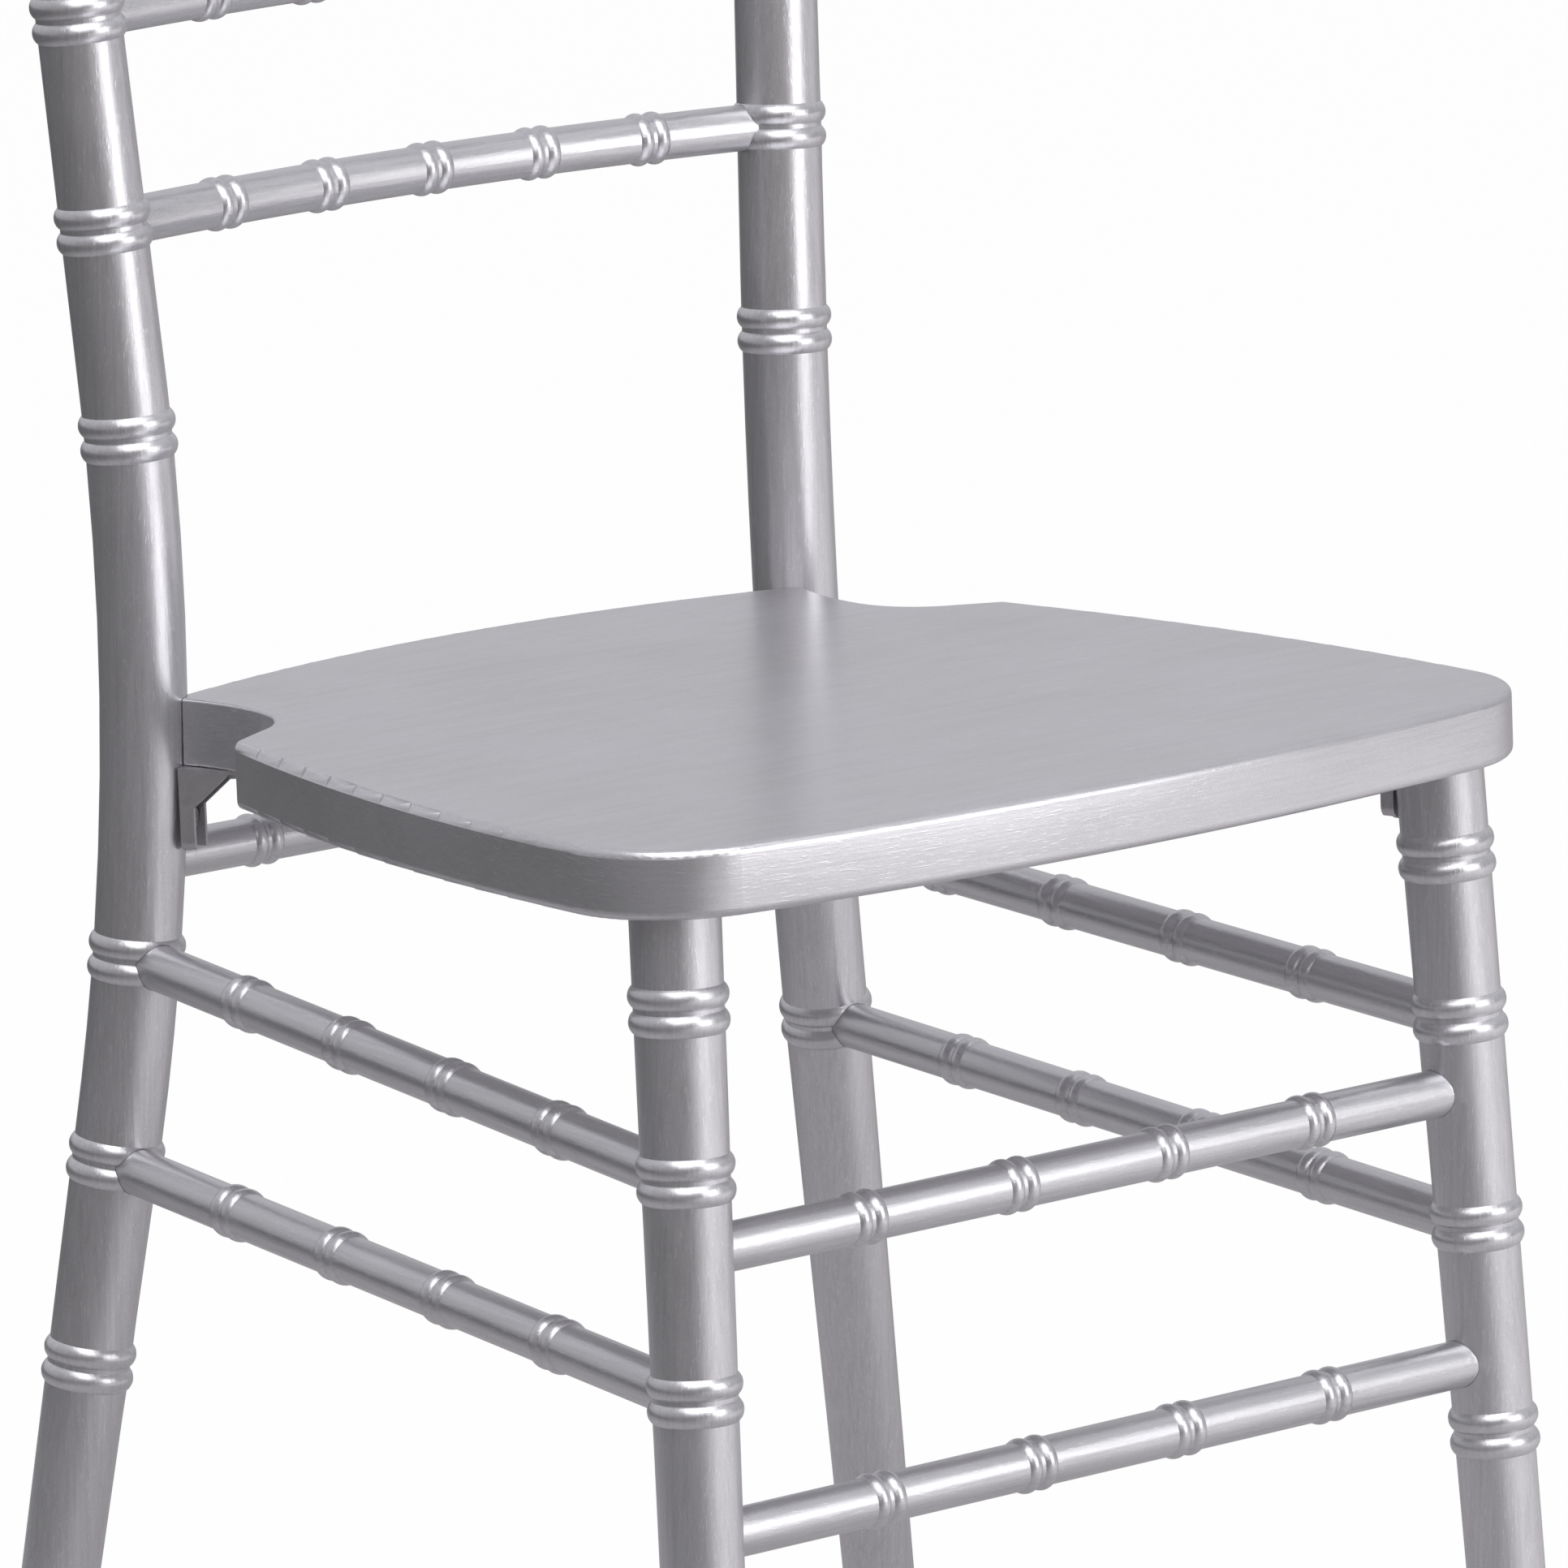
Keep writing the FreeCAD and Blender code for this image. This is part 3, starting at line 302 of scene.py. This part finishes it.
def seen_as_white(tree):
    """One for camera and transmission rays, which see floor and backdrop as plain white."""
    rays = node(tree, "ShaderNodeLightPath", {})
    return maths(tree, "MAXIMUM", rays.outputs["Is Camera Ray"],
                 rays.outputs["Is Transmission Ray"])


def painted_glow_level(tree):
    """Brightness of the painted glow on the floor that the paint mirrors: white at the front
    right, dim at the back and left, with a painted pool of light under the chair."""
    coords = node(tree, "ShaderNodeTexCoord", {}).outputs["Object"]
    # Painted light: the floor's glow grows towards the front right, with a painted pool of light
    # under the chair
    across = ramp_towards(tree, coords, TOWARDS_RIGHT, -0.5, 0.75, 0.15, 0.95)
    forwards = ramp_towards(tree, coords, TOWARDS_FRONT, -0.5, 0.9, 0.45, 1.0)
    from_chair = node(tree, "ShaderNodeVectorMath", {0: coords, 1: PAINTED_POOL_MIDDLE},
                      operation="DISTANCE").outputs["Value"]
    painted_light_pool = ramp(tree, from_chair, 0.5, 1.45, 0.42, 0.0)
    return maths(tree, "MAXIMUM", maths(tree, "MULTIPLY", across, forwards), painted_light_pool)


def studio_floor():
    """Matt white floor, shown white with a trace of shadow and mirrored as a graded painted glow
    of light.
    """
    floor_mesh = bpy.data.meshes.new("studio_floor")
    work = bmesh.new()
    bmesh.ops.create_grid(work, x_segments=1, y_segments=1, size=FLOOR_HALF_WIDTH)
    work.to_mesh(floor_mesh)
    work.free()
    floor = bpy.data.objects.new("studio_floor", floor_mesh)
    scene.collection.objects.link(floor)

    material, tree = new_finish("white_floor")
    matt = node(tree, "ShaderNodeBsdfDiffuse", {"Color": FLOOR_PAINT})
    # Painted glow: an emission graded like lamp light, which glossy rays see on the floor
    painted_glow = node(tree, "ShaderNodeEmission", {
        "Color": PAINTED_GLOW_TINT, "Strength": painted_glow_level(tree)})
    glossy_ray = node(tree, "ShaderNodeLightPath", {}).outputs["Is Glossy Ray"]
    matt_and_painted_glow = node(tree, "ShaderNodeMixShader", {
        0: maths(tree, "MULTIPLY", glossy_ray, SHARE_MIRRORED),
        1: matt.outputs[0], 2: painted_glow.outputs[0]})
    white = node(tree, "ShaderNodeEmission", {"Color": WHITE})
    final = node(tree, "ShaderNodeMixShader", {
        0: maths(tree, "MULTIPLY", seen_as_white(tree), SHARE_SHOWN_WHITE),
        1: matt_and_painted_glow.outputs[0], 2: white.outputs[0]})
    node(tree, "ShaderNodeOutputMaterial", {"Surface": final.outputs[0]})
    floor_mesh.materials.append(material)


def studio_backdrop():
    """Plain grey room, paler above and behind the chair, shown white."""
    world = bpy.data.worlds.new("studio")
    scene.world = world
    world.use_nodes = True
    tree = world.node_tree
    tree.nodes.clear()
    coords = node(tree, "ShaderNodeTexCoord", {}).outputs["Generated"]
    height = ramp_towards(tree, coords, TOWARDS_CEILING, -0.35, 0.75, 0.0, 1.0)
    room = node(tree, "ShaderNodeBackground", {"Color": blend(tree, height, ROOM_LOW, ROOM_HIGH)})
    white = node(tree, "ShaderNodeBackground", {"Color": WHITE})
    final = node(tree, "ShaderNodeMixShader", {
        0: seen_as_white(tree), 1: room.outputs[0], 2: white.outputs[0]})
    node(tree, "ShaderNodeOutputWorld", {"Surface": final.outputs[0]})


def softbox(name, place, aim, width, height, radiance):
    """Rectangular lamp whose face shines evenly with the given radiance; sizes in metres."""
    lamp = bpy.data.lights.new(name, "AREA")
    lamp.shape = "RECTANGLE"
    lamp.size = width
    lamp.size_y = height
    lamp.energy = radiance * math.pi * width * height
    holder = bpy.data.objects.new(name, lamp)
    holder.location = place
    holder.rotation_euler = (Vector(aim) - Vector(place)).to_track_quat("-Z", "Y").to_euler()
    holder.visible_camera = False
    scene.collection.objects.link(holder)


studio_floor()
studio_backdrop()
softbox("key_front_right", place=(0.85, -2.19, 1.2), aim=(0.0, 0.0, 0.55),
        width=1.5, height=1.7, radiance=2.15)
softbox("fill_front_left", place=(-1.5, -1.9, 1.9), aim=(0.0, 0.0, 0.5),
        width=1.6, height=0.8, radiance=0.9)
softbox("overhead", place=(-0.55, -1.0, 2.5), aim=(0.0, 0.0, 0.5),
        width=2.6, height=2.1, radiance=1.9)
